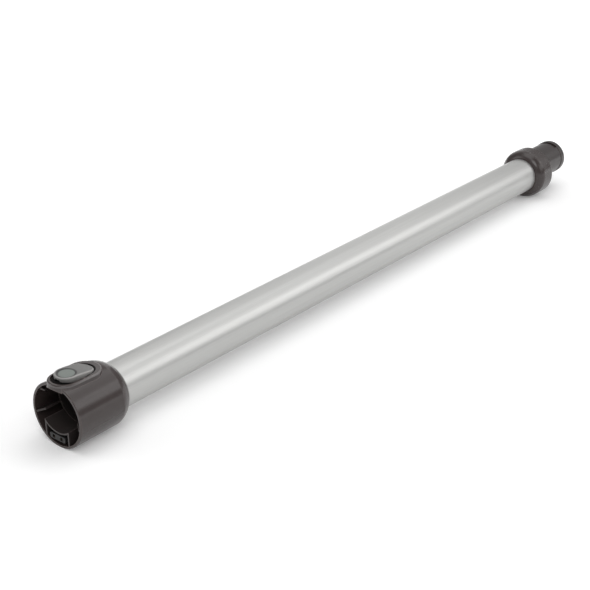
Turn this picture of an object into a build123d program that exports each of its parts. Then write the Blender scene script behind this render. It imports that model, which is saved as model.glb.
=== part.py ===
from build123d import *
from math import asin, cos, radians, sin, sqrt, tan
import os

# Extension wand of a cordless stick vacuum: an aluminium tube with a plastic
# socket collar at the near end and a spigot for the tools at the far end.
# Lengths are millimetres. The x axis is the mating axis that the socket and
# the spigot share, x = 0 is where the full-round socket sleeve begins, and
# +z is up. The tube lies a little below the mating axis, to leave room for
# the power leads, and the wand rests on a small flat under each collar.

# Tube and the plastic air duct inside it
tube_r = 18.0
tube_wall = 0.9
tube_length = 611.5
duct_room = 1.6
duct_wall = 0.9
duct_top_gap = 0.25
rail_gap = 5.2
rail_thick = 0.9
rail_curve = 0.4

# Mating axis
axis_rise = 4.7
bore_r = 17.6
lead_in = 18.0
land_length = 10.0
guide_relief = 0.3
stop_margin = 0.4

# Socket collar
shell_wall = 2.0
sleeve_nest = 0.4
collar_length = 41.0
shoulder_length = 10.3
lip_wall = 1.1
rim_round = 0.6
sole_flat = 0.5
shoulder_bulge = 1.0

# Raised housing on the collar, round the button
pod_front_r = 13.0
pod_rear_r = 13.6
pod_front_x = 9.2
pod_depth = 8.8
pod_rise = 1.0
pod_slope = 0.5
pod_draft = 9.0
pod_round = 0.9
well_front_r = 10.1
well_rear_r = 9.4
well_front_x = 9.8
well_rear_gap = 6.2
well_depth = 2.1

# Release button: a rocker with the catch under its rear end
button_front_r = 9.0
button_rear_r = 8.6
button_front_x = 12.0
button_gap = 0.8
button_rise = 3.1
button_crown_x = 9.0
button_rear_drop = 3.9
button_skin = 1.4
button_round = 1.0
button_swing = 7.0
toe_half_width = 2.6
toe_height = 1.1
floor_gap = 0.35
pivot_from_mouth = 18.5
pivot_rise = 0.8
pivot_r = 0.9
pivot_clear = 0.05
pivot_reach = 1.4
dish_x = 12.0
dish_r = 7.0
dish_floor_r = 5.8
dish_depth = 0.6
hook_inset = 4.7
hook_length = 2.7
hook_width = 10.4
hook_bite = 1.2
spring_x = 9.0
spring_r = 2.0
spring_wire_r = 0.22
spring_turns = 3.5
spring_post_r = 1.4
spring_post_height = 0.8

# Socket insert: sleeve, tongue, ribs and the bay of the electric socket
sleeve_wall = 1.4
plug_shift = 1.2
insert_clear = 0.15
flange_thick = 2.0
stop_plate = 1.2
stop_lip = 2.2
throat_length = 4.0
tail_length = 2.9
bay_half_width = 11.0
bay_length = 33.0
rib_thick = 1.3
rib_angles = (62.0, 112.0)
rib_slope = 3.5
seal_thick = 2.0
seal_lip = 1.0
gasket_thick = 1.0

# Electric socket block and its contacts
block_half_width = 7.9
block_height = 4.4
block_length = 30.0
block_foot = 3.0
block_top_gap = 1.5
block_round = 1.0
contact_pitch = 7.9
contact_size = 2.4
contact_wall = 0.35
contact_depth = 12.0
contact_clear = 0.1
contact_inset = 1.0

# Power leads
lead_r = 1.1
lead_room = 1.5
lead_pitch = 2.7
lead_run = 3.0
lead_bend = 3.5

# Far end: collar, spigot and plug
seat_length = 8.8
bell_length = 24.5
bell_dome = 8.0
bell_bulge = 1.3
bell_round = 1.2
bell_slant = 2.6
seat_clear = 0.1
neck_wall = 1.6
ring_gap = 0.3
ring_step = 0.65
ring_length = 5.9
ring_ramp = 1.3
spigot_length = 41.4
shoulder_x = 2.6
notch_length = 4.5
notch_depth = 1.6
notch_half_angle = 33.0
shroud_half_width = 10.3
shroud_wall = 0.9
shroud_length = 29.0
shroud_gap = 0.3
pin_size = 1.6
pin_length = 10.0
plug_flange = 1.4
plug_clear = 0.05
web_thick = 3.0
lock_width = 1.2
lock_depth = 0.45
lock_inset = 3.0
lock_gap = 7.2
snap_width = 1.0
snap_height = 0.5

# Radii and heights that follow from the sizes above
tube_z = -axis_rise
tube_bore_r = tube_r - tube_wall
duct_r = tube_bore_r - duct_room
duct_bore_r = duct_r - duct_wall
duct_z = tube_z + tube_bore_r - duct_r - duct_top_gap
sleeve_r = bore_r + sleeve_wall
guide_r = bore_r + guide_relief
stop_bore_r = bore_r - stop_lip
ring_r = bore_r - ring_gap
neck_r = ring_r - ring_step
notch_floor_r = ring_r - notch_depth
collar_r = sleeve_r + axis_rise + shell_wall - sleeve_nest
shell_bore_r = collar_r - shell_wall
insert_r = shell_bore_r - insert_clear
seat_r = tube_r + seat_clear
lip_r = seat_r + lip_wall
sole_z = tube_z - collar_r + sole_flat
pod_z = tube_z + collar_r + pod_rise
floor_z = pod_z - well_depth
top_z = pod_z + button_rise
pivot_z = floor_z + pivot_rise
contact_z = -sleeve_r - block_top_gap - block_height / 2
lead_z = tube_z - tube_bore_r + lead_r + 2 * seat_clear

# Places along the wand that follow from the sizes above
pod_rear_x = collar_length - pod_rear_r
well_rear_x = collar_length - well_rear_gap - well_rear_r
button_rear_x = well_rear_x + well_rear_r - button_gap - button_rear_r
button_end_x = button_rear_x + button_rear_r
button_crown_r = (button_end_x - button_crown_x) ** 2 / (2 * button_rear_drop)
hook_from_mouth = button_end_x - hook_inset
mouth_x = -lead_in
ridge_x = mouth_x + collar_length
lip_x = ridge_x + shoulder_length
stop_x = ridge_x - stop_margin
throat_x = stop_x + throat_length
tube_x = throat_x + 2 * seat_clear
tail_x = throat_x + tail_length
duct_x = tail_x + gasket_thick
tube_end_x = tube_x + tube_length
bell_x = tube_end_x - seat_length
bell_end_x = bell_x + bell_length
spigot_end_x = bell_end_x + spigot_length
neck_x = bell_end_x + shoulder_x
duct_end_x = tube_end_x - seat_length / 2
pivot_x = mouth_x + pivot_from_mouth


def rod(x0, x1, radius, z=0.0):
    """Round bar along x."""
    bar = Cylinder(radius, x1 - x0, align=(Align.CENTER, Align.CENTER, Align.MIN))
    return Pos(x0, 0, z) * Rot(0, 90, 0) * bar


def pipe(x0, x1, outer, inner, z=0.0):
    """Round pipe along x."""
    return rod(x0, x1, outer, z) - rod(x0, x1, inner, z)


def block(x0, x1, y0, y1, z0, z1):
    """Box given by its corners."""
    return Pos(x0, y0, z0) * Box(x1 - x0, y1 - y0, z1 - z0, align=(Align.MIN,) * 3)


def funnel(x0, r0, z0, x1, r1, z1):
    """Loft between two circles on different axes."""
    start = Plane(origin=(x0, 0, z0), x_dir=(0, 1, 0), z_dir=(1, 0, 0)) * Circle(r0)
    end = Plane(origin=(x1, 0, z1), x_dir=(0, 1, 0), z_dir=(1, 0, 0)) * Circle(r1)
    return loft([start, end], ruled=True)


def turned(edges, z):
    """Solid of revolution about the axis at height z, from edges drawn in x and radius."""
    face = Plane(origin=(0, 0, z), x_dir=(1, 0, 0), z_dir=(0, -1, 0)) * make_face(edges)
    return revolve(face, axis=Axis((0, 0, z), (1, 0, 0)), revolution_arc=360)


def stadium(x0, r0, x1, r1):
    """Outline of two circles on the x axis and their common tangents."""
    tilt = asin((r0 - r1) / (x1 - x0))
    c, s = cos(tilt), sin(tilt)
    a = (x0 + r0 * s, r0 * c)
    b = (x1 + r1 * s, r1 * c)
    front = ThreePointArc(a, (x0 - r0, 0), (a[0], -a[1]))
    rear = ThreePointArc((b[0], -b[1]), (x1 + r1, 0), b)
    return make_face([front, Line((a[0], -a[1]), (b[0], -b[1])), rear, Line(b, a)])


def between(x0, x1, half_width, top_r, bottom_r):
    """Bar along x in the connector's place: flat sides, arched top and bottom."""
    bar = block(x0, x1, plug_shift - half_width, plug_shift + half_width, -2 * collar_r, 0)
    return (bar & rod(x0, x1, bottom_r, tube_z)) - rod(x0, x1, top_r)


def sole_cut(x0, x1):
    """Space under the flat that a collar rests on."""
    return block(x0, x1, -collar_r, collar_r, sole_z - collar_r, sole_z)


def dome(x0, r0, x1, r1, bulge):
    """Arc from one point of a profile to another, bulging outwards."""
    run, rise = x1 - x0, r1 - r0
    span = sqrt(run * run + rise * rise)
    middle = ((x0 + x1) / 2 - bulge * rise / span, (r0 + r1) / 2 + bulge * run / span)
    return ThreePointArc((x0, r0), middle, (x1, r1))


def lock_groove(x, radius, depth):
    """Ring of space for a lock ring, reaching from a radius outwards."""
    return pipe(x - lock_width / 2, x + lock_width / 2, radius + depth, radius, tube_z)


def snap_ridge(x, clear):
    """Ridge round a flange, or with a clearance the groove that it snaps into."""
    half, top = snap_width / 2 + clear, insert_r + snap_height + clear
    return pipe(x - half, x + half, top, insert_r - snap_height, tube_z)


def wand_tube():
    """Aluminium tube with a groove near each end for the lock rings."""
    tube = pipe(tube_x, tube_end_x, tube_r, tube_bore_r, tube_z)
    for x in (tube_x + lock_inset, tube_end_x - lock_inset):
        tube -= lock_groove(x, tube_r - lock_depth, 2 * lock_depth)
    return tube


def lock_ring(x):
    """Spring ring, open at the top, that keeps the tube in its collar."""
    half = (lock_width - insert_clear) / 2
    inner = tube_r - lock_depth + seat_clear / 2
    ring = pipe(x - half, x + half, tube_r + lock_depth, inner, tube_z)
    return ring - block(x - lock_width, x + lock_width, -lock_gap / 2, lock_gap / 2, tube_z, collar_r)


def air_duct():
    """Round air duct on two rails that keep the power leads' channel free."""
    duct = rod(duct_x, duct_end_x, duct_r, duct_z)
    foot = tube_z - tube_bore_r + duct_top_gap
    for side in (-1, 1):
        y = side * (rail_gap + rail_thick) / 2
        duct += block(duct_x, duct_end_x, y - rail_thick / 2, y + rail_thick / 2, foot + rail_curve, duct_z)
    return duct - rod(duct_x, duct_end_x, duct_bore_r, duct_z)


def gasket(x0, x1):
    """Rubber ring between the end of the duct and the throat of a collar."""
    return pipe(x0, x1, duct_r, duct_bore_r, duct_z)


def collar_body():
    """Outer wall with its domed shoulder, hollow for the insert and seated on the tube."""
    step_r = shell_bore_r - shell_wall
    step_x = stop_x + stop_plate + seat_clear
    edges = [
        Line((mouth_x, shell_bore_r), (mouth_x, collar_r - rim_round)),
        RadiusArc((mouth_x, collar_r - rim_round), (mouth_x + rim_round, collar_r), rim_round),
        Line((mouth_x + rim_round, collar_r), (ridge_x, collar_r)),
        dome(ridge_x, collar_r, lip_x, lip_r, shoulder_bulge),
        Polyline(
            (lip_x, lip_r),
            (lip_x, seat_r),
            (throat_x, seat_r),
            (step_x, step_r),
            (stop_x, step_r),
            (stop_x, shell_bore_r),
            (mouth_x, shell_bore_r),
        ),
    ]
    return turned(edges, tube_z)


def pod():
    """Raised housing with drafted sides and a sloping top, reaching out over the mouth."""
    base_z = pod_z - pod_depth
    outline = stadium(mouth_x + pod_front_x, pod_front_r, mouth_x + pod_rear_x, pod_rear_r)
    body = extrude(Pos(0, 0, base_z) * outline, amount=2 * pod_depth, taper=pod_draft)
    x0, x1 = mouth_x - pod_front_r, mouth_x + collar_length
    side = Polyline((x0, base_z), (x0, pod_z), (x1, pod_z - pod_slope), (x1, base_z), (x0, base_z))
    body &= extrude(Plane.XZ * make_face(side), amount=collar_r, both=True)
    body = fillet(body.faces().sort_by(Axis.Z)[-1].edges(), pod_round)
    return body - rod(mouth_x, lip_x, shell_bore_r - shell_wall, tube_z)


def button_well():
    """Opening in the housing down to the thin floor over the socket."""
    outline = stadium(mouth_x + well_front_x, well_front_r, mouth_x + well_rear_x, well_rear_r)
    return extrude(Pos(0, 0, floor_z) * outline, amount=collar_r)


def catch_slot():
    """Slot that the catch passes through, down into the bore."""
    x0 = mouth_x + hook_from_mouth - 2 * floor_gap
    drop = (pivot_z - bore_r + hook_bite) * sin(radians(button_swing))
    x1 = mouth_x + hook_from_mouth + hook_length + drop + 2 * floor_gap
    half = hook_width / 2 + floor_gap
    return block(x0, x1, -half, half, bore_r / 2, floor_z)


def pivot_rod(radius, half):
    """Round bar along y, at the hinge of the button."""
    return Pos(pivot_x, 0, pivot_z) * Rot(90, 0, 0) * Cylinder(radius, 2 * half)


def well_half_width():
    """Half width of the button opening at the pivot."""
    share = (pivot_from_mouth - well_front_x) / (well_rear_x - well_front_x)
    return well_front_r + (well_rear_r - well_front_r) * share


def spring_post():
    """Low stud on the well's floor that centres the spring."""
    stud = Cylinder(spring_post_r, spring_post_height, align=(Align.CENTER, Align.CENTER, Align.MIN))
    return Pos(mouth_x + spring_x, 0, floor_z) * stud


def socket_collar():
    """Near collar: shell, housing, the button's well and the seats of tube and insert."""
    shell = collar_body() + pod()
    shell -= rod(mouth_x - collar_r, mouth_x, guide_r)
    shell -= rod(mouth_x, stop_x, shell_bore_r, tube_z)
    shell -= button_well()
    shell += spring_post()
    shell -= catch_slot()
    shell -= pivot_rod(pivot_r + pivot_clear, well_half_width() + pivot_reach + floor_gap)
    shell -= sole_cut(mouth_x, lip_x)
    shell -= snap_ridge(stop_x - flange_thick / 2, insert_clear)
    return shell - lock_groove(tube_x + lock_inset, seat_r, lock_depth)


def rib(angle):
    """Radial rib between the bore and the shell, with a sloping front edge."""
    x0, tip = mouth_x + rim_round, collar_r + axis_rise
    plate = block(x0, stop_x - flange_thick, -rib_thick / 2, rib_thick / 2, guide_r, tip)
    front = Polyline((x0, 0), (x0 + rib_slope, guide_r), (x0, shell_bore_r), (x0, 0))
    return Rot(angle, 0, 0) * plate - turned([front], 0)


def bay():
    """Side walls of the connector's bay and the curved tongue over it."""
    reach = bay_half_width + rib_thick
    low, high = plug_shift - reach, plug_shift + reach
    walls = block(mouth_x, mouth_x + bay_length, low, high, -2 * collar_r, -bore_r / 2)
    walls -= block(mouth_x, mouth_x + bay_length, low + rib_thick, high - rib_thick, -2 * collar_r, 0)
    tongue = pipe(mouth_x, 0, sleeve_r, guide_r) & block(mouth_x, 0, low, high, -sleeve_r, 0)
    return walls + tongue


def throat(r0, r1):
    """Funnel from the stop to the air duct, and its short tail inside the tube."""
    return funnel(stop_x, r0, 0, throat_x, r1, duct_z) + rod(throat_x, tail_x, r1, duct_z)


def lead_slot():
    """Opening in the stop, between the bay and the tube, for the power leads."""
    y0, y1 = contact_y(-1) - lead_room * lead_r, contact_y(1) + lead_room * lead_r
    z0, z1 = contact_z - lead_room * lead_r, lead_z + lead_room * lead_r
    return block(stop_x - flange_thick, stop_x + stop_plate, y0, y1, z0, z1)


def socket_insert():
    """Sleeve that takes the spigot, with its guides, the bay, the stop and the throat."""
    body = bay() + rod(0, stop_x, sleeve_r)
    for angle in rib_angles:
        body += rib(angle) + rib(-angle)
    body += rod(stop_x - flange_thick, stop_x, insert_r, tube_z)
    body &= rod(mouth_x, stop_x, insert_r, tube_z)
    body -= rod(mouth_x, stop_x, guide_r)
    body += pipe(0, land_length, sleeve_r, bore_r)
    body += rod(stop_x, stop_x + stop_plate, shell_bore_r - shell_wall - insert_clear, tube_z)
    body += throat(stop_bore_r + duct_wall, duct_r)
    body -= throat(stop_bore_r, duct_bore_r)
    body += snap_ridge(stop_x - flange_thick / 2, 0)
    return body - lead_slot() - catch_slot()


def socket_seal():
    """Rubber ring on the stop, with a sloping lip that the spigot's end presses."""
    outer, front, groove_x = guide_r - insert_clear, stop_x - seal_thick, stop_x - seal_thick / 2
    edges = Polyline(
        (stop_x, stop_bore_r),
        (stop_x, outer),
        (front, outer),
        (front, outer - seal_lip),
        (groove_x, outer - seal_lip),
        (groove_x, stop_bore_r),
        (stop_x, stop_bore_r),
    )
    return turned([edges], 0)


def contact_y(side):
    """Place of the left (1) or right (-1) contact across the wand."""
    return plug_shift + side * contact_pitch / 2


def contact_block():
    """Socket block: free in front, so that the plug's wall passes round it, with a foot behind."""
    x0, x1, x2 = mouth_x, mouth_x + block_length, stop_x - flange_thick
    y0, y1 = plug_shift - block_half_width, plug_shift + block_half_width
    z0, z1 = contact_z - block_height / 2, contact_z + block_height / 2
    body = fillet(block(x0, x1, y0, y1, z0, z1).edges().filter_by(Axis.X), block_round)
    half = bay_half_width - insert_clear
    foot = between(x1 - block_foot, x2, half, sleeve_r + insert_clear, insert_r - insert_clear)
    body += foot - block(x1, x2, y0, y1, -2 * collar_r, 0)
    half = contact_size / 2 + contact_clear
    for side in (-1, 1):
        y = contact_y(side)
        body -= block(x0, x1, y - half, y + half, contact_z - half, contact_z + half)
    return body


def socket_contact(side):
    """Folded square contact tube with a closed tail for its lead."""
    y, half = contact_y(side), contact_size / 2
    x0, x1 = mouth_x + contact_inset, mouth_x + block_length + contact_inset
    shell = block(x0, x1, y - half, y + half, contact_z - half, contact_z + half)
    half -= contact_wall
    return shell - block(x0, x0 + contact_depth, y - half, y + half, contact_z - half, contact_z + half)


def button_profile(drop):
    """Side view of the button: crowned top and a lower edge that clears the floor."""
    x0 = mouth_x + button_front_x - button_front_r
    x1 = mouth_x + button_rear_x + button_rear_r
    crown_x, crown_z = mouth_x + button_crown_x, top_z - drop

    def height(x):
        return crown_z - (x - crown_x) ** 2 / (2 * button_crown_r)

    low = floor_z + floor_gap
    lift = (pivot_x - x0) * tan(radians(button_swing))
    top = ThreePointArc((x0, height(x0)), ((x0 + x1) / 2, height((x0 + x1) / 2)), (x1, height(x1)))
    sides = Polyline((x1, height(x1)), (x1, low), (pivot_x, low), (x0, low + lift), (x0, height(x0)))
    return extrude(Plane.XZ * make_face([top, sides]), amount=collar_r, both=True)


def button_plan(inset, z0, z1):
    """Bar with the button's outline, seen from above."""
    x0, x1 = mouth_x + button_front_x, mouth_x + button_rear_x
    outline = stadium(x0, button_front_r - inset, x1, button_rear_r - inset)
    return extrude(Pos(0, 0, z0) * outline, amount=z1 - z0)


def toe_notch():
    """Cut-out in the lower edge of the button's front, that shows the space under it."""
    x0 = mouth_x + button_front_x - button_front_r
    edge = floor_z + floor_gap + (pivot_x - x0) * tan(radians(button_swing))
    return block(x0, x0 + 2 * button_skin, -toe_half_width, toe_half_width, floor_z, edge + toe_height)


def thumb_dish():
    """Round recess with sloping sides in the front of the button."""
    low = top_z - (dish_x - button_crown_x) ** 2 / (2 * button_crown_r) - dish_depth
    wide = 2 * dish_r - dish_floor_r
    cone = Cone(dish_floor_r, wide, 2 * dish_depth, align=(Align.CENTER, Align.CENTER, Align.MIN))
    return Pos(mouth_x + dish_x, 0, low) * cone


def catch_hook():
    """Curved catch under the rear of the button, with a ramp that the spigot's ring lifts."""
    x0 = mouth_x + hook_from_mouth
    x1, tip, root = x0 + hook_length, ring_r - hook_bite, floor_z + 2 * floor_gap
    hook = block(x0, x1, -hook_width / 2, hook_width / 2, 0, root)
    ramp = [Polyline((x0, tip), (x0 + hook_length / 2, tip), (x0, tip + hook_bite), (x0, tip))]
    return hook - rod(x0, x1, tip) - turned(ramp, 0)


def release_button():
    """Rocker in one piece with its pivot stubs and the catch."""
    base, top = floor_z, top_z + button_skin
    body = button_plan(0, base, top) & button_profile(0)
    body = fillet(body.faces().sort_by(Axis.Z)[-1].edges(), button_round)
    hollow = button_plan(button_skin, base, top)
    hollow &= block(mouth_x, pivot_x - 2 * pivot_r, -collar_r, collar_r, base, top)
    body -= hollow & button_profile(button_skin)
    body -= thumb_dish() + toe_notch()
    body += catch_hook()
    return body + pivot_rod(pivot_r, well_half_width() + pivot_reach)


def button_spring():
    """Coil between the floor of the housing and the underside of the button."""
    sag = (abs(spring_x - button_crown_x) + spring_r) ** 2 / (2 * button_crown_r)
    underside = top_z - button_skin - sag
    height = underside - floor_z - 2 * spring_wire_r - 2 * insert_clear
    path = Helix(pitch=height / spring_turns, height=height, radius=spring_r)
    wire = Plane(origin=path @ 0, z_dir=path % 0) * RegularPolygon(spring_wire_r, 6)
    coil = sweep(wire, path=path)
    return Pos(mouth_x + spring_x, 0, floor_z + spring_wire_r + insert_clear) * coil


def bell_plane(offset):
    """Sloping plane of the bell's rear face, with the top of the bell shorter than its sole."""
    middle = (bell_end_x - offset, 0, tube_z)
    return Plane(origin=middle, x_dir=(0, 1, 0), z_dir=(collar_r, 0, bell_slant))


def behind(plane):
    """Space behind a plane across the wand."""
    side = 4 * collar_r
    return plane * Box(side, side, side, align=(Align.CENTER, Align.CENTER, Align.MIN))


def spigot_collar():
    """Bell-shaped collar on the far end of the tube, with a sloping rear face."""
    inner_x = tube_end_x + seat_clear
    cone_x = inner_x + (shell_bore_r - seat_r)
    edges = [
        dome(bell_x, lip_r, bell_x + bell_dome, collar_r, bell_bulge),
        Polyline(
            (bell_x + bell_dome, collar_r),
            (bell_end_x + collar_r, collar_r),
            (bell_end_x + collar_r, shell_bore_r),
            (cone_x, shell_bore_r),
            (inner_x, seat_r),
            (bell_x, seat_r),
            (bell_x, lip_r),
        ),
    ]
    bell = turned(edges, tube_z) - behind(bell_plane(0))
    bell = fillet(bell.faces().sort_by(Axis.X)[-1].outer_wire().edges(), bell_round)
    bell -= sole_cut(bell_x, bell_end_x + bell_slant)
    bell -= snap_ridge(bell_end_x - web_thick / 2, insert_clear)
    return bell - lock_groove(tube_end_x - lock_inset, seat_r, lock_depth)


def shroud_bar(x0, x1, inset):
    """The plug's wall, or with an inset the space inside it."""
    half = shroud_half_width - inset
    return between(x0, x1, half, sleeve_r + shroud_gap + inset, insert_r - shroud_gap - inset)


def catch_notch():
    """Notch behind the spigot's ring that the catch of a tool drops into."""
    x1 = spigot_end_x - ring_length
    x0 = x1 - notch_length
    reach = ring_r * sin(radians(notch_half_angle))
    return pipe(x0, x1, ring_r, notch_floor_r) & block(x0, x1, -reach, reach, 0, collar_r)


def spigot_air():
    """Air path through the spigot, from the duct to the open end."""
    x0, x1 = duct_end_x + gasket_thick, tube_end_x + seat_clear
    flange_x, bore = bell_end_x - web_thick, neck_r - neck_wall
    air = rod(x0, x1, duct_bore_r, duct_z) + funnel(x1, duct_bore_r, duct_z, flange_x, bore, 0)
    return air + rod(flange_x, spigot_end_x, bore)


def tool_spigot():
    """Spigot for the tools: web, neck, end ring with its notch and the plug's wall."""
    flange_x = bell_end_x - web_thick
    turn_x = tube_end_x + seat_clear
    body = rod(duct_end_x + gasket_thick, turn_x, duct_r, duct_z)
    body += funnel(turn_x, duct_r, duct_z, flange_x, neck_r, 0)
    body += rod(flange_x, bell_end_x + bell_slant, insert_r, tube_z) - behind(bell_plane(rim_round))
    foot = bell_plane(rim_round) * Circle(insert_r - rim_round)
    top = Plane(origin=(neck_x, 0, 0), x_dir=(0, 1, 0), z_dir=(1, 0, 0)) * Circle(neck_r)
    body += loft([foot, top], ruled=True)
    ring = rod(spigot_end_x - ring_length - ring_ramp, spigot_end_x, ring_r)
    ring = fillet(ring.edges().sort_by(Axis.X)[-1], rim_round)
    ring = chamfer(ring.edges().sort_by(Axis.X)[0], ring_ramp, ring_step)
    body += rod(flange_x, spigot_end_x, neck_r) + ring + snap_ridge(flange_x + web_thick / 2, 0)
    body -= catch_notch()
    body += shroud_bar(flange_x, bell_end_x + shroud_length, 0)
    body -= shroud_bar(flange_x, bell_end_x + shroud_length, shroud_wall)
    return body - spigot_air()


def plug_block():
    """Insulating plug at the bottom of the shroud, with a flange behind the spigot's web."""
    x0, x1, x2 = bell_end_x - web_thick - plug_flange, bell_end_x - web_thick, bell_end_x + web_thick
    body = shroud_bar(x1, x2, shroud_wall + insert_clear) + shroud_bar(x0, x1, shroud_gap)
    half = pin_size / 2 + plug_clear
    for side in (-1, 1):
        y = contact_y(side)
        body -= block(x0, x2, y - half, y + half, contact_z - half, contact_z + half)
    return body


def plug_pin(side):
    """Square pin with a tapered tip."""
    y, half = contact_y(side), pin_size / 2
    x0, x1 = bell_end_x - web_thick - plug_flange - contact_inset, bell_end_x + web_thick + pin_length
    pin = block(x0, x1, y - half, y + half, contact_z - half, contact_z + half)
    return chamfer(pin.faces().sort_by(Axis.X)[-1].edges(), half / 2)


def power_lead(side):
    """Insulated lead from a socket contact, along the channel under the duct, to a plug pin."""
    y0, y1 = contact_y(side), side * lead_pitch / 2
    start = mouth_x + block_length + contact_inset
    end = bell_end_x - web_thick - plug_flange - contact_inset
    points = [
        (start, y0, contact_z),
        (start + lead_run, y0, contact_z),
        (tube_x - seat_clear, y1, lead_z),
        (tube_end_x + seat_clear, y1, lead_z),
        (end - lead_run, y0, contact_z),
        (end, y0, contact_z),
    ]
    path = FilletPolyline(*points, radius=lead_bend)
    return sweep(Plane(origin=path @ 0, z_dir=path % 0) * Circle(lead_r), path=path)


parts = {
    "wand_tube": wand_tube(),
    "air_duct": air_duct(),
    "duct_gasket_front": gasket(tail_x, duct_x),
    "duct_gasket_rear": gasket(duct_end_x, duct_end_x + gasket_thick),
    "lock_ring_front": lock_ring(tube_x + lock_inset),
    "lock_ring_rear": lock_ring(tube_end_x - lock_inset),
    "socket_collar": socket_collar(),
    "socket_insert": socket_insert(),
    "socket_seal": socket_seal(),
    "contact_block": contact_block(),
    "socket_contact_left": socket_contact(1),
    "socket_contact_right": socket_contact(-1),
    "release_button": release_button(),
    "button_spring": button_spring(),
    "power_lead_left": power_lead(1),
    "power_lead_right": power_lead(-1),
    "spigot_collar": spigot_collar(),
    "tool_spigot": tool_spigot(),
    "plug_block": plug_block(),
    "plug_pin_left": plug_pin(1),
    "plug_pin_right": plug_pin(-1),
}

os.makedirs("parts", exist_ok=True)
for name, solid in parts.items():
    export_step(solid, f"parts/{name}.step")
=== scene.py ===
"""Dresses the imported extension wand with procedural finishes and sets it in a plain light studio.

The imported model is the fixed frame. Every length is in metres, +X runs along the wand from the
socket to the spigot and +Z is up. The wand lies on the flats of its two collars.
"""

import math

import bpy
from bpy.props import FloatProperty, FloatVectorProperty, PointerProperty
from mathutils import Matrix, Vector


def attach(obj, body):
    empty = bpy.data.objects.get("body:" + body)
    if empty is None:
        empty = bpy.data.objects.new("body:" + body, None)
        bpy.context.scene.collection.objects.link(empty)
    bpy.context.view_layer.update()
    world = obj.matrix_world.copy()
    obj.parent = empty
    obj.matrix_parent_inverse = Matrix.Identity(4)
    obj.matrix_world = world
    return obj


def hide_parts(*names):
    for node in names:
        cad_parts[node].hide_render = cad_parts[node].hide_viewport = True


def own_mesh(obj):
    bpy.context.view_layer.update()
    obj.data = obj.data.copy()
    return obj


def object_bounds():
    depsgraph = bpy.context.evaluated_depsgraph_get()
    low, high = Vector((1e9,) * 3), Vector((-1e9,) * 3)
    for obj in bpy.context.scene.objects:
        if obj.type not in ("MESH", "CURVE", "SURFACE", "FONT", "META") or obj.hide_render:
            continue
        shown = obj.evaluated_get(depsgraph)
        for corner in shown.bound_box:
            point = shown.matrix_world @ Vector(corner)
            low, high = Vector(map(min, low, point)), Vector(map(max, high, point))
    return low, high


bl_info = {
    "name": "Extension Wand Dresser",
    "version": (1, 0, 0),
    "blender": (4, 5, 0),
    "location": "View3D > Sidebar > Wand",
    "description": "Finishes, a button spring and a light studio for a vacuum extension wand",
    "category": "Object",
}

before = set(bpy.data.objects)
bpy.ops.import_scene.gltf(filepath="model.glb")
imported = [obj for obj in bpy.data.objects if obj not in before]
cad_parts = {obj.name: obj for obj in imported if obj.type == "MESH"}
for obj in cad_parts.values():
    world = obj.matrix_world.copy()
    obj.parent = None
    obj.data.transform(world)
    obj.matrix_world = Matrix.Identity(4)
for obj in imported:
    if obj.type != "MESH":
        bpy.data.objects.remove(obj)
CAD_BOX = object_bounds()

WHITE = (1.0, 1.0, 1.0, 1.0)
BLACK = (0.0, 0.0, 0.0, 1.0)

# Ends, along X, of the lines that the housing's rim, the well and the button are rounded about.
HOUSING_ENDS = (-0.0088, 0.0094)
WELL_ENDS = (-0.0082, 0.0074)
BUTTON_ENDS = (-0.006, 0.0074)
DISH_X = -0.006  # Middle of the thumb dish

# Heights above which the well's painted shade and the two painted highlight lines show, and half the depth
# they fade over.
WELL_FLOOR = 0.0145
RIM_FOOT = 0.0198
EDGE_FOOT = 0.0205
FADE = 0.0003

# Colour ramps run from 0 to 1: distances from those lines count 20 mm as 1, those from the dish 10 mm.
LINE_REACH = 50.0
DISH_REACH = 100.0
# Stops of the painted shade in the well, of the painted highlight lines along the housing's rim and the
# button's edge, and of the dish's mask.
WELL_SHADE_STOPS = ((0.49, WHITE), (0.505, BLACK))
RIM_HIGHLIGHT_STOPS = ((0.575, BLACK), (0.605, WHITE), (0.63, WHITE), (0.65, BLACK))
BUTTON_HIGHLIGHT_STOPS = ((0.375, BLACK), (0.4, WHITE), (0.435, WHITE), (0.452, BLACK))
INSIDE_STOPS = ((0.715, WHITE), (0.75, BLACK))
# Colour of the painted highlight along the housing's rim.
RIM_HIGHLIGHT_COLOUR = (0.15, 0.138, 0.136, 1.0)

FLAT = 0.998  # Cosine between true and rounded normal, above which a face counts as flat
MERGE = 0.000001  # Points of the spring nearer to each other than this become one
SMOOTH_ANGLE = math.radians(65.0)

MIDDLE = (0.33, 0.0, 0.0)  # Where the lamps point, on the wand's axis
FLOOR_TONE = 0.9  # Share of the light that the floor gives back
FLOOR_STRETCH = (1.0, 1.6, 0.0)  # Makes the shadow's dim field an oval, longer along the wand
NEAR, FAR = 0.3, 1.0  # The floor's glow grows between these distances from the middle
DIM = 0.12  # Glow of the floor under the wand
WORLD_LIGHT = 0.31  # Strength of the surround as light, where the camera sees it at 1
SENSOR = 36.0  # Width of the camera's sensor in millimetres


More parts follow.
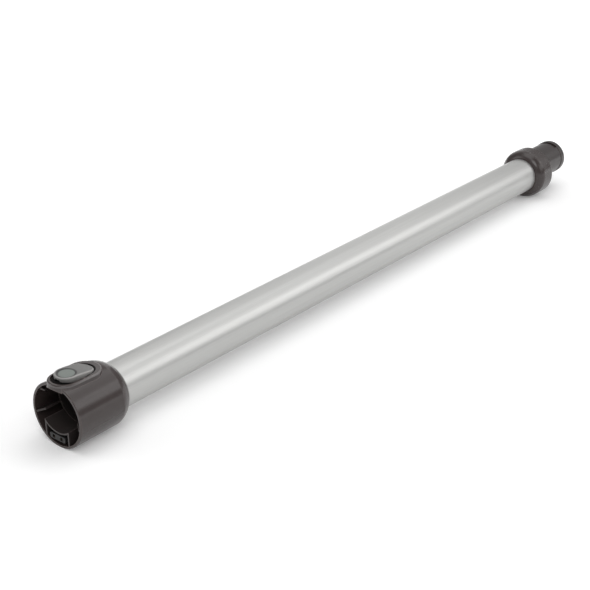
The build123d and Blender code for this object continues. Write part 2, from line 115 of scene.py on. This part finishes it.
class WandFinish(bpy.types.PropertyGroup):
    """Colours and gloss of the wand's surfaces."""

    tube_colour: FloatVectorProperty(
        name="Tube colour", description="Satin aluminium of the tube", subtype="COLOR", size=4,
        min=0.0, max=1.0, default=(0.49, 0.49, 0.48, 1.0),
    )
    tube_roughness: FloatProperty(
        name="Tube roughness", description="Blur of the tube's reflections", default=0.38, min=0.0, max=1.0,
        subtype="FACTOR",
    )
    collar_colour: FloatVectorProperty(
        name="Collar colour", description="Warm dark grey of the two collars", subtype="COLOR", size=4,
        min=0.0, max=1.0, default=(0.039, 0.0292, 0.0278, 1.0),
    )
    collar_roughness: FloatProperty(
        name="Collar roughness", description="Blur of the collars' reflections", default=0.21, min=0.0,
        max=1.0, subtype="FACTOR",
    )
    insert_colour: FloatVectorProperty(
        name="Socket colour", description="Near black of the socket's inside", subtype="COLOR", size=4,
        min=0.0, max=1.0, default=(0.031, 0.025, 0.0238, 1.0),
    )
    block_colour: FloatVectorProperty(
        name="Connector colour", description="Dark grey of the connector blocks", subtype="COLOR", size=4,
        min=0.0, max=1.0, default=(0.014, 0.0125, 0.0125, 1.0),
    )
    button_colour: FloatVectorProperty(
        name="Button colour", description="Mid grey of the release button", subtype="COLOR", size=4,
        min=0.0, max=1.0, default=(0.13, 0.127, 0.123, 1.0),
    )
    dish_colour: FloatVectorProperty(
        name="Dish colour", description="Slightly green grey of the thumb dish", subtype="COLOR", size=4,
        min=0.0, max=1.0, default=(0.16, 0.18, 0.165, 1.0),
    )
    rubber_colour: FloatVectorProperty(
        name="Rubber colour", description="Seal, gaskets and lead sleeves", subtype="COLOR", size=4,
        min=0.0, max=1.0, default=(0.012, 0.012, 0.013, 1.0),
    )
    brass_colour: FloatVectorProperty(
        name="Contact colour", description="Plated contacts and pins", subtype="COLOR", size=4,
        min=0.0, max=1.0, default=(0.5, 0.36, 0.17, 1.0),
    )
    steel_colour: FloatVectorProperty(
        name="Steel colour", description="Spring wire and lock rings", subtype="COLOR", size=4,
        min=0.0, max=1.0, default=(0.5, 0.5, 0.51, 1.0),
    )


class WandStudio(bpy.types.PropertyGroup):
    """Camera, floor and lamps."""

    camera_place: FloatVectorProperty(
        name="Camera place", description="Where the camera stands", subtype="TRANSLATION", unit="LENGTH",
        default=(-0.4808, -0.5876, 0.4277),
    )
    camera_aim: FloatVectorProperty(
        name="Camera aim", description="Direction that the camera looks in", subtype="DIRECTION",
        default=(0.70484, 0.57016, -0.42203),
    )
    camera_lens: FloatProperty(
        name="Focal length", description="Focal length in millimetres on a 36 mm sensor", default=74.0,
        min=10.0,
    )
    floor_size: FloatProperty(
        name="Floor size", description="Side of the square floor", default=12.0, min=1.0, unit="LENGTH",
    )
    lamp_level: FloatProperty(
        name="Lamp level", description="Strength of all lamps against the studio's own", default=1.0, min=0.0,
    )


class NodeBench:
    """Places and links the nodes of one material."""

    def __init__(self, name):
        self.material = bpy.data.materials.new(name)
        self.material.use_nodes = True
        self.tree = self.material.node_tree
        self.shader = self.tree.nodes["Principled BSDF"]
        self.column = 0

    def node(self, kind, **values):
        """New node. Each value goes to the input of that name, or else to the node's own setting."""
        made = self.tree.nodes.new(kind)
        self.column += 1
        made.location = (-220.0 * self.column, 160.0 * (self.column % 3))
        for key, value in values.items():
            if key in made.inputs:
                made.inputs[key].default_value = value
            else:
                setattr(made, key, value)
        return made

    def link(self, source, target):
        """Link from an output to an input."""
        self.tree.links.new(source, target)

    def place(self, scale=(1.0, 1.0, 1.0), centre=(0.0, 0.0, 0.0)):
        """Object coordinates, centred on a point and scaled along each axis."""
        coordinates = self.node("ShaderNodeTexCoord")
        mapping = self.node("ShaderNodeMapping")
        mapping.inputs["Scale"].default_value = scale
        mapping.inputs["Location"].default_value = [-c * s for c, s in zip(centre, scale)]
        self.link(coordinates.outputs["Object"], mapping.inputs["Vector"])
        return mapping.outputs["Vector"]

    def noise(self, vector, scale, detail=3.0, roughness=0.5):
        """Noise from 0 to 1."""
        made = self.node("ShaderNodeTexNoise", Scale=scale, Detail=detail, Roughness=roughness)
        self.link(vector, made.inputs["Vector"])
        return made.outputs["Fac"]

    def ramp(self, value, stops):
        """Colour ramp whose stops are pairs of place and colour."""
        made = self.node("ShaderNodeValToRGB")
        band = made.color_ramp
        while len(band.elements) < len(stops):
            band.elements.new(0.5)
        for element, (place, colour) in zip(band.elements, stops):
            element.position = place
            element.color = colour
        self.link(value, made.inputs["Fac"])
        return made.outputs["Color"]

    def spread(self, value, low, high, start=0.0, end=1.0, curve="LINEAR"):
        """Value that goes from low to high while the given one goes from start to end."""
        made = self.node("ShaderNodeMapRange", interpolation_type=curve)
        limits = {"From Min": start, "From Max": end, "To Min": low, "To Max": high}
        for key, limit in limits.items():
            made.inputs[key].default_value = limit
        self.link(value, made.inputs["Value"])
        return made.outputs["Result"]

    def above(self, height):
        """1 above a height, 0 below it."""
        parts = self.node("ShaderNodeSeparateXYZ")
        self.link(self.place(), parts.inputs[0])
        return self.spread(parts.outputs["Z"], 0.0, 1.0, start=height - FADE, end=height + FADE)

    def math(self, operation, first, second):
        """Result of an operation on a socket and a second socket or number."""
        made = self.node("ShaderNodeMath", operation=operation)
        self.link(first, made.inputs[0])
        if isinstance(second, float):
            made.inputs[1].default_value = second
        else:
            self.link(second, made.inputs[1])
        return made.outputs[0]

    def length(self, vector):
        """Length of a vector."""
        made = self.node("ShaderNodeVectorMath", operation="LENGTH")
        self.link(vector, made.inputs[0])
        return made.outputs["Value"]

    def from_line(self, ends):
        """Distance, seen from above and in units of 20 mm, from a line along the wand's top."""
        middle, half = (ends[0] + ends[1]) / 2, (ends[1] - ends[0]) / 2
        parts = self.node("ShaderNodeSeparateXYZ")
        flat = self.place(scale=(LINE_REACH, LINE_REACH, 0.0), centre=(middle, 0.0, 0.0))
        self.link(flat, parts.inputs[0])
        past = self.math("SUBTRACT", self.math("ABSOLUTE", parts.outputs["X"], 0.0), half * LINE_REACH)
        joined = self.node("ShaderNodeCombineXYZ")
        self.link(self.math("MAXIMUM", past, 0.0), joined.inputs["X"])
        self.link(parts.outputs["Y"], joined.inputs["Y"])
        return self.length(joined.outputs[0])

    def product(self, first, second):
        """Two colours multiplied."""
        made = self.node("ShaderNodeMix", data_type="RGBA", blend_type="MULTIPLY")
        made.inputs["Factor"].default_value = 1.0
        self.link(first, made.inputs["A"])
        self.link(second, made.inputs["B"])
        return made.outputs["Result"]

    def mixed(self, factor, first, second):
        """Blend of two colours: the second, a socket or a fixed colour, shows where the factor is 1."""
        made = self.node("ShaderNodeMix", data_type="RGBA")
        self.link(factor, made.inputs["Factor"])
        self.link(first, made.inputs["A"])
        if isinstance(second, tuple):
            made.inputs["B"].default_value = second
        else:
            self.link(second, made.inputs["B"])
        return made.outputs["Result"]

    def edges(self, radius, turn):
        """1 on an edge, fading to 0 within the radius. A turn near 1 takes in round edges too."""
        rounded = self.node("ShaderNodeBevel", samples=6, Radius=radius)
        flat = self.node("ShaderNodeNewGeometry")
        between = self.node("ShaderNodeVectorMath", operation="DOT_PRODUCT")
        self.link(rounded.outputs["Normal"], between.inputs[0])
        self.link(flat.outputs["Normal"], between.inputs[1])
        return self.spread(between.outputs["Value"], 0.0, 1.0, start=FLAT, end=turn)

    def bump(self, height, strength, distance, under=None):
        """Normal raised by a height, over another bump where one is given."""
        made = self.node("ShaderNodeBump", Strength=strength, Distance=distance)
        self.link(height, made.inputs["Height"])
        if under is not None:
            self.link(under, made.inputs["Normal"])
        return made.outputs["Normal"]

    def dress(self, tone, blur, normal):
        """Links colour, roughness and normal to the shader, and returns the material."""
        for source, name in ((tone, "Base Color"), (blur, "Roughness"), (normal, "Normal")):
            self.link(source, self.shader.inputs[name])
        return self.material


def shade(colour, factor):
    """A colour made lighter or darker, with full alpha."""
    return (*[min(1.0, c * factor) for c in colour[:3]], 1.0)


def moulded_plastic(
    name, colour, roughness, grain, mottle=0.06, edge_highlight=0.0, highlight_reach=0.0005, turn=0.86, painted_light_of=None
):
    """Injection-moulded plastic: spark-eroded grain, faint flow mottle and handling marks, with a painted
    highlight that lightens the edges.
    """
    bench = NodeBench(name)
    place = bench.place()
    flow = bench.noise(place, scale=38.0, detail=4.0, roughness=0.55)
    tone = bench.ramp(flow, [(0.3, shade(colour, 1.0 - mottle)), (0.7, shade(colour, 1.0 + mottle))])
    # Painted highlight: edges lightened, as where rounded edges would catch the light.
    if edge_highlight:
        tone = bench.mixed(bench.edges(highlight_reach, turn), tone, shade(colour, edge_highlight))
    marks = bench.noise(place, scale=210.0, detail=6.0, roughness=0.65)
    blur = bench.spread(marks, low=roughness - 0.05, high=roughness + 0.07)
    if painted_light_of is not None:
        tone, blur = painted_light_of(bench, tone, blur, colour)
    fine = bench.noise(place, scale=2600.0, detail=2.0, roughness=0.5)
    wavy = bench.noise(place, scale=55.0, detail=2.0, roughness=0.4)
    under = bench.bump(wavy, strength=0.12, distance=0.0004)
    return bench.dress(tone, blur, bench.bump(fine, strength=grain, distance=0.00004, under=under))


def housing_shade_and_highlight(bench, tone, blur, colour):
    """Painted shade darkening the well round the button, which is also made dull, and a painted highlight
    along the housing's rim.
    """
    # Painted shade: the well is darkened as the shade inside a recess.
    well = bench.ramp(bench.from_line(WELL_ENDS), WELL_SHADE_STOPS)
    well = bench.math("MULTIPLY", well, bench.above(WELL_FLOOR))
    # Painted highlight: a light line along the housing's rim, where its rounded edge would catch the light.
    rim = bench.ramp(bench.from_line(HOUSING_ENDS), RIM_HIGHLIGHT_STOPS)
    rim = bench.math("MULTIPLY", rim, bench.above(RIM_FOOT))
    tone = bench.mixed(rim, tone, RIM_HIGHLIGHT_COLOUR)
    return bench.mixed(well, tone, shade(colour, 0.1)), bench.math("MAXIMUM", blur, well)


def satin_tube(name, colour, roughness):
    """Anodised aluminium, with hair-fine drawing lines along the tube."""
    bench = NodeBench(name)
    lines = bench.noise(bench.place(scale=(6.0, 900.0, 900.0)), scale=1.0, detail=4.0, roughness=0.6)
    broad = bench.noise(bench.place(scale=(3.0, 26.0, 26.0)), scale=1.0, detail=3.0, roughness=0.5)
    tone = bench.ramp(broad, [(0.25, shade(colour, 0.985)), (0.75, shade(colour, 1.05))])
    hair = bench.ramp(lines, [(0.3, shade(WHITE, 0.93)), (0.7, WHITE)])
    blur = bench.spread(lines, low=roughness - 0.04, high=roughness + 0.05)
    bench.shader.inputs["Metallic"].default_value = 0.85
    return bench.dress(bench.product(tone, hair), blur, bench.bump(lines, strength=0.05, distance=0.00003))


def plated_metal(name, colour, roughness):
    """Drawn or pressed metal with fine marks from the tool."""
    bench = NodeBench(name)
    marks = bench.noise(bench.place(scale=(300.0, 1800.0, 1800.0)), scale=1.0, detail=3.0, roughness=0.6)
    tone = bench.ramp(marks, [(0.2, shade(colour, 0.86)), (0.8, shade(colour, 1.06))])
    blur = bench.spread(marks, low=roughness - 0.07, high=roughness + 0.1)
    bench.shader.inputs["Metallic"].default_value = 1.0
    return bench.dress(tone, blur, bench.bump(marks, strength=0.1, distance=0.00004))


def soft_rubber(name, colour):
    """Matt rubber with a dusty bloom."""
    bench = NodeBench(name)
    place = bench.place()
    bloom = bench.noise(place, scale=90.0, detail=5.0, roughness=0.6)
    tone = bench.ramp(bloom, [(0.35, colour), (0.75, shade(colour, 1.7))])
    blur = bench.spread(bloom, low=0.62, high=0.8)
    fine = bench.noise(place, scale=1500.0)
    return bench.dress(tone, blur, bench.bump(fine, strength=0.2, distance=0.00005))


def button_plastic(name, colour, dish, roughness):
    """Satin grey plastic, with a faintly green thumb dish inside a ring of painted shade, and a painted
    highlight line along the top edge.
    """
    bench = NodeBench(name)
    place = bench.place()
    flow = bench.noise(place, scale=60.0, detail=4.0, roughness=0.5)
    body = bench.ramp(flow, [(0.3, shade(colour, 0.95)), (0.7, colour)])
    # Painted highlight: a light line along the button's top edge, where its rounded edge would catch the
    # light.
    edge = bench.ramp(bench.from_line(BUTTON_ENDS), BUTTON_HIGHLIGHT_STOPS)
    edge = bench.math("MULTIPLY", edge, bench.above(EDGE_FOOT))
    body = bench.mixed(edge, body, shade(colour, 2.2))
    # Painted shade: a dark ring round the thumb dish, on its sloped wall; the faintly green dish inside is
    # the button's own colour.
    reach = bench.length(bench.place(scale=(DISH_REACH, DISH_REACH, 0.0), centre=(DISH_X, 0.0, 0.0)))
    dish_and_shade_ring = bench.ramp(reach, [(0.56, dish), (0.6, shade(colour, 0.22))])
    tone = bench.mixed(bench.ramp(reach, INSIDE_STOPS), body, dish_and_shade_ring)
    blur = bench.spread(flow, low=roughness - 0.04, high=roughness + 0.05)
    fine = bench.noise(place, scale=2400.0)
    return bench.dress(tone, blur, bench.bump(fine, strength=0.1, distance=0.00004))


def clothe(material, *names):
    """Gives CAD nodes one finish."""
    for name in names:
        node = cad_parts[name]
        for holder in node.material_slots:
            holder.material = material


class WAND_OT_finish_tube(bpy.types.Operator):
    """Gives the tube its satin aluminium"""

    bl_idname = "wand.finish_tube"
    bl_label = "Finish Tube"

    def execute(self, context):
        finish = context.scene.wand_finish
        clothe(satin_tube("satin_tube", tuple(finish.tube_colour), finish.tube_roughness), "wand_tube")
        return {"FINISHED"}


class WAND_OT_finish_collars(bpy.types.Operator):
    """Gives the collars and the spigot their warm grey plastic"""

    bl_idname = "wand.finish_collars"
    bl_label = "Finish Collars"

    def execute(self, context):
        finish = context.scene.wand_finish
        colour, roughness = tuple(finish.collar_colour), finish.collar_roughness
        # Painted highlight: the edges of the collars, the bell and the spigot are lightened, over this reach
        # and turn.
        edge = {"highlight_reach": 0.0008, "turn": 0.965}
        collar = moulded_plastic(
            "collar_plastic", colour, roughness, grain=0.05, edge_highlight=2.4, painted_light_of=housing_shade_and_highlight, **edge
        )
        bell = moulded_plastic("bell_plastic", colour, roughness + 0.04, grain=0.05, edge_highlight=2.4, **edge)
        spigot = moulded_plastic(
            "spigot_plastic", shade(colour, 0.7), roughness + 0.12, grain=0.06, edge_highlight=2.0, **edge
        )
        clothe(collar, "socket_collar")
        clothe(bell, "spigot_collar")
        clothe(spigot, "tool_spigot")
        return {"FINISHED"}


class WAND_OT_finish_socket(bpy.types.Operator):
    """Gives the socket's inside, the connector blocks and the duct their dark plastics"""

    bl_idname = "wand.finish_socket"
    bl_label = "Finish Socket"

    def execute(self, context):
        finish = context.scene.wand_finish
        inside, dark = tuple(finish.insert_colour), tuple(finish.block_colour)
        # Painted highlight: the edges of the socket's inside and of the connector blocks are lightened.
        insert = moulded_plastic("insert_plastic", inside, roughness=0.42, grain=0.1, edge_highlight=4.0, highlight_reach=0.0004)
        block = moulded_plastic("block_plastic", dark, roughness=0.46, grain=0.12, edge_highlight=2.0, highlight_reach=0.00025)
        clothe(insert, "socket_insert")
        clothe(block, "contact_block", "plug_block")
        clothe(moulded_plastic("duct_plastic", shade(dark, 1.5), roughness=0.5, grain=0.1), "air_duct")
        return {"FINISHED"}


class WAND_OT_finish_button(bpy.types.Operator):
    """Gives the release button its grey plastic and its thumb dish"""

    bl_idname = "wand.finish_button"
    bl_label = "Finish Button"

    def execute(self, context):
        finish = context.scene.wand_finish
        colour, dish = tuple(finish.button_colour), tuple(finish.dish_colour)
        clothe(button_plastic("button_plastic", colour, dish, roughness=0.4), "release_button")
        return {"FINISHED"}


class WAND_OT_finish_fittings(bpy.types.Operator):
    """Gives the contacts, lock rings, leads and seals their metals and rubbers"""

    bl_idname = "wand.finish_fittings"
    bl_label = "Finish Fittings"

    def execute(self, context):
        finish = context.scene.wand_finish
        brass = plated_metal("contact_brass", tuple(finish.brass_colour), roughness=0.3)
        steel = plated_metal("ring_steel", shade(finish.steel_colour, 0.9), roughness=0.35)
        rubber = tuple(finish.rubber_colour)
        clothe(brass, "socket_contact_left", "socket_contact_right", "plug_pin_left", "plug_pin_right")
        clothe(steel, "lock_ring_front", "lock_ring_rear")
        clothe(soft_rubber("seal_rubber", rubber), "socket_seal", "duct_gasket_front", "duct_gasket_rear")
        clothe(soft_rubber("lead_sleeve", shade(rubber, 2.0)), "power_lead_left", "power_lead_right")
        return {"FINISHED"}


class WAND_OT_wind_spring(bpy.types.Operator):
    """Makes a piece of its own from the button's spring, smoothed, in spring steel and carried by the wand's
    body
    """

    bl_idname = "wand.wind_spring"
    bl_label = "Wind Spring"

    def execute(self, context):
        finish = context.scene.wand_finish
        bpy.ops.object.select_all(action="DESELECT")
        coil = bpy.data.objects.new("button_coil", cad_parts["button_spring"].data.copy())
        context.scene.collection.objects.link(coil)
        coil.select_set(True)
        context.view_layer.objects.active = coil
        bpy.ops.object.mode_set(mode="EDIT")
        bpy.ops.mesh.select_all(action="SELECT")
        bpy.ops.mesh.remove_doubles(threshold=MERGE)
        bpy.ops.mesh.normals_make_consistent(inside=False)
        bpy.ops.object.mode_set(mode="OBJECT")
        bpy.ops.object.shade_smooth_by_angle(angle=SMOOTH_ANGLE)
        coil.data.materials.clear()
        coil.data.materials.append(plated_metal("spring_steel", tuple(finish.steel_colour), roughness=0.28))
        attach(coil, "wand")
        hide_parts("button_spring")
        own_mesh(coil)
        return {"FINISHED"}


def area_lamp(name, place, size, power):
    """Rectangular soft lamp at a place, facing the middle of the wand."""
    lamp = bpy.data.lights.new(name, "AREA")
    lamp.shape = "RECTANGLE"
    lamp.size, lamp.size_y = size
    lamp.energy = power
    holder = bpy.data.objects.new(name, lamp)
    holder.location = place
    holder.rotation_mode = "QUATERNION"
    facing = (Vector(place) - Vector(MIDDLE)).normalized()
    side = Vector((1.0, 0.0, 0.0))
    side = (side - facing * side.dot(facing)).normalized()
    turned = Matrix((side, facing.cross(side), facing)).transposed()
    holder.rotation_quaternion = turned.to_quaternion()
    bpy.context.scene.collection.objects.link(holder)


def studio_floor(size, height):
    """Pale floor: it takes the shadow, and glows only for the camera and in reflections."""
    bpy.ops.object.select_all(action="DESELECT")
    bpy.ops.mesh.primitive_plane_add(size=size, location=(MIDDLE[0], MIDDLE[1], height))
    bpy.ops.object.transform_apply(location=True, rotation=False, scale=False)
    floor = bpy.context.active_object
    floor.name = "studio_floor"
    bench = NodeBench("studio_floor")
    bench.shader.inputs["Base Color"].default_value = shade(WHITE, FLOOR_TONE)
    bench.shader.inputs["Roughness"].default_value = 1.0
    bench.shader.inputs["Specular IOR Level"].default_value = 0.0
    reach = bench.length(bench.place(scale=FLOOR_STRETCH, centre=MIDDLE))
    strength = bench.spread(reach, low=DIM, high=1.0, start=NEAR, end=FAR, curve="SMOOTHSTEP")
    glow = bench.node("ShaderNodeEmission")
    bench.link(strength, glow.inputs["Strength"])
    none = bench.node("ShaderNodeEmission", Strength=0.0)
    path = bench.node("ShaderNodeLightPath")
    seen = bench.math("MAXIMUM", path.outputs["Is Camera Ray"], path.outputs["Is Glossy Ray"])
    pick = bench.node("ShaderNodeMixShader")
    bench.link(seen, pick.inputs["Fac"])
    bench.link(none.outputs[0], pick.inputs[1])
    bench.link(glow.outputs[0], pick.inputs[2])
    both = bench.node("ShaderNodeAddShader")
    bench.link(bench.shader.outputs[0], both.inputs[0])
    bench.link(pick.outputs[0], both.inputs[1])
    bench.link(both.outputs[0], bench.tree.nodes["Material Output"].inputs["Surface"])
    floor.data.materials.append(bench.material)


def studio_world():
    """Pale surround: white to the camera, soft grey light on the wand."""
    world = bpy.context.scene.world or bpy.data.worlds.new("studio")
    bpy.context.scene.world = world
    world.use_nodes = True
    tree = world.node_tree
    tree.nodes.clear()
    output = tree.nodes.new("ShaderNodeOutputWorld")
    mix = tree.nodes.new("ShaderNodeMixShader")
    for slot, strength in ((1, WORLD_LIGHT), (2, 1.0)):
        surround = tree.nodes.new("ShaderNodeBackground")
        surround.inputs["Color"].default_value = WHITE
        surround.inputs["Strength"].default_value = strength
        tree.links.new(surround.outputs[0], mix.inputs[slot])
    path = tree.nodes.new("ShaderNodeLightPath")
    tree.links.new(path.outputs["Is Camera Ray"], mix.inputs["Fac"])
    tree.links.new(mix.outputs[0], output.inputs["Surface"])


# Name, place, width and height, and power in watts of each lamp.
LAMPS = (
    ("camera_lamp", (-0.9, -1.1, 1.6), (1.0, 1.0), 11.5),
    ("over_lamp", (0.25, 0.15, 1.6), (1.6, 1.2), 9.0),
    ("right_lamp", (0.6, -1.8, 0.9), (1.0, 0.8), 4.0),
    ("right_wall", (1.9, -1.556, 1.09), (1.8, 1.1), 10.0),
    ("high_wall", (1.9, -0.493, 1.835), (1.8, 2.3), 13.0),
    ("left_wall", (1.9, 1.455, 1.221), (1.8, 2.0), 8.0),
    ("back_lamp", (-0.8, 1.3, 0.9), (1.0, 1.0), 4.5),
)


class WAND_OT_set_stage(bpy.types.Operator):
    """Sets the camera, the pale floor and the soft lamps"""

    bl_idname = "wand.set_stage"
    bl_label = "Set Stage"

    def execute(self, context):
        studio = context.scene.wand_studio
        context.scene.view_settings.view_transform = "Standard"
        lens = bpy.data.cameras.new("studio_camera")
        lens.lens = studio.camera_lens
        lens.sensor_width = SENSOR
        lens.clip_start = 0.01
        camera = bpy.data.objects.new("studio_camera", lens)
        camera.location = studio.camera_place
        camera.rotation_mode = "QUATERNION"
        camera.rotation_quaternion = Vector(studio.camera_aim).to_track_quat("-Z", "Y")
        context.scene.collection.objects.link(camera)
        context.scene.camera = camera
        studio_floor(studio.floor_size, CAD_BOX[0][2])
        studio_world()
        for name, place, size, power in LAMPS:
            area_lamp(name, place, size, power * studio.lamp_level)
        return {"FINISHED"}


class WAND_PT_panel(bpy.types.Panel):
    """Lists the wand's steps in the sidebar"""

    bl_idname = "WAND_PT_panel"
    bl_label = "Extension Wand"
    bl_space_type = "VIEW_3D"
    bl_region_type = "UI"
    bl_category = "Wand"

    def draw(self, context):
        for step in STEPS:
            self.layout.operator(step.bl_idname)
        for name in WandFinish.__annotations__:
            self.layout.prop(context.scene.wand_finish, name)
        for name in WandStudio.__annotations__:
            self.layout.prop(context.scene.wand_studio, name)


STEPS = (
    WAND_OT_finish_tube,
    WAND_OT_finish_collars,
    WAND_OT_finish_socket,
    WAND_OT_finish_button,
    WAND_OT_finish_fittings,
    WAND_OT_wind_spring,
    WAND_OT_set_stage,
)
CLASSES = (WandFinish, WandStudio, *STEPS, WAND_PT_panel)


def register():
    for item in CLASSES:
        bpy.utils.register_class(item)
    bpy.types.Scene.wand_finish = PointerProperty(type=WandFinish)
    bpy.types.Scene.wand_studio = PointerProperty(type=WandStudio)


def unregister():
    del bpy.types.Scene.wand_studio
    del bpy.types.Scene.wand_finish
    for item in reversed(CLASSES):
        bpy.utils.unregister_class(item)


def main():
    register()
    bpy.ops.wand.finish_tube()
    bpy.ops.wand.finish_collars()
    bpy.ops.wand.finish_socket()
    bpy.ops.wand.finish_button()
    bpy.ops.wand.finish_fittings()
    bpy.ops.wand.wind_spring()
    bpy.ops.wand.set_stage()


if __name__ == "__main__":
    main()
